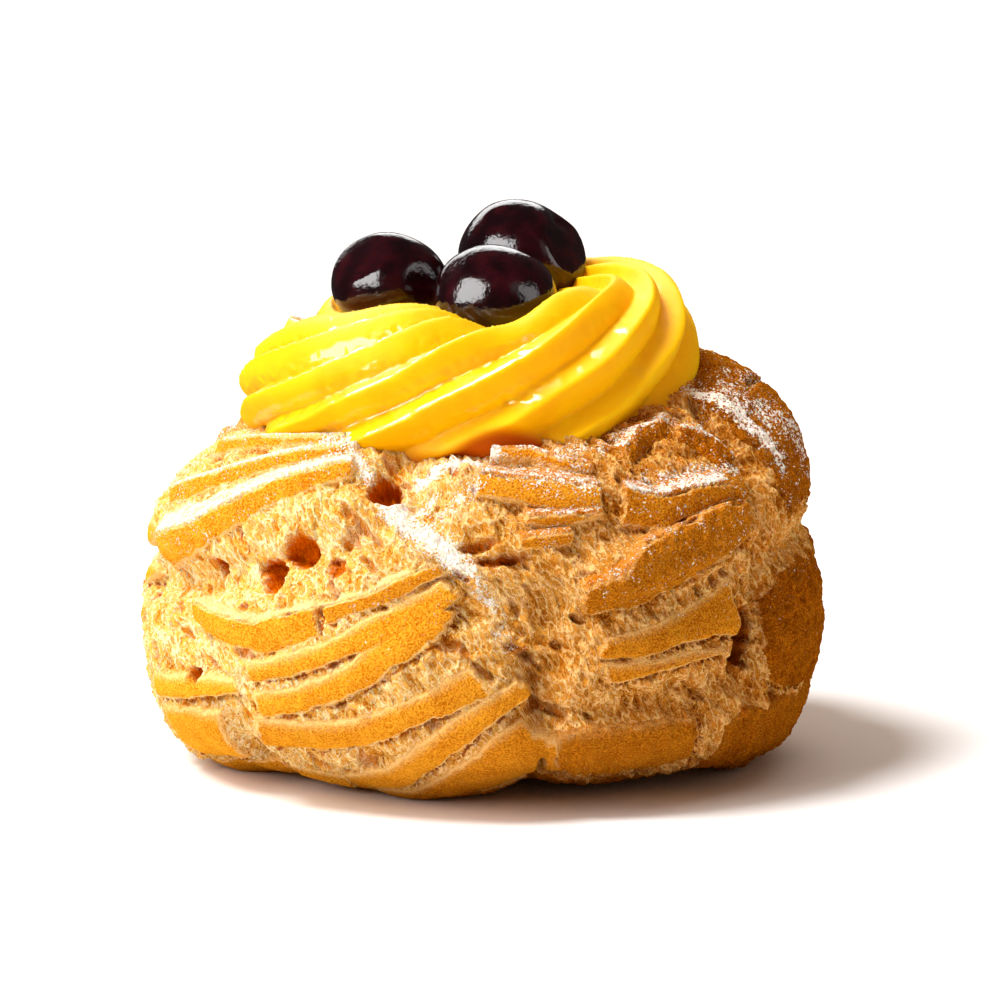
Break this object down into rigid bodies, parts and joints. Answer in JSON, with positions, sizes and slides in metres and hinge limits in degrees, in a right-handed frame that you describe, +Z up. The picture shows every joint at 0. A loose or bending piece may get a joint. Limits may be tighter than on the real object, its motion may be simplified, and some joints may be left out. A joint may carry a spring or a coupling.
{
  "type": "filled choux pastry with custard and cherries",
  "caption": "Baked choux bun with torn, ridged crust, topped with a piped custard swirl and syrup cherries.",
  "frame": {"origin": "middle of the object's box, on the surface that it stands on", "axes": "+Z up; -Y is the front that the picture shows, with the vertical tear between the two fans of ridges; +X is the side where the shoulder stands highest"},
  "size_m": [0.096, 0.0908, 0.0785],
  "materials": {
    "choux": "baked golden crust over pale torn crumb, dusted with icing sugar",
    "custard": "smooth, moist yellow custard",
    "cherry": "dark red, wet with syrup"
  },
  "bodies": {
    "root": {"choux": "choux", "custard": "custard", "cherry_left": "cherry", "cherry_front": "cherry", "cherry_back": "cherry"}
  },
  "joints": []
}
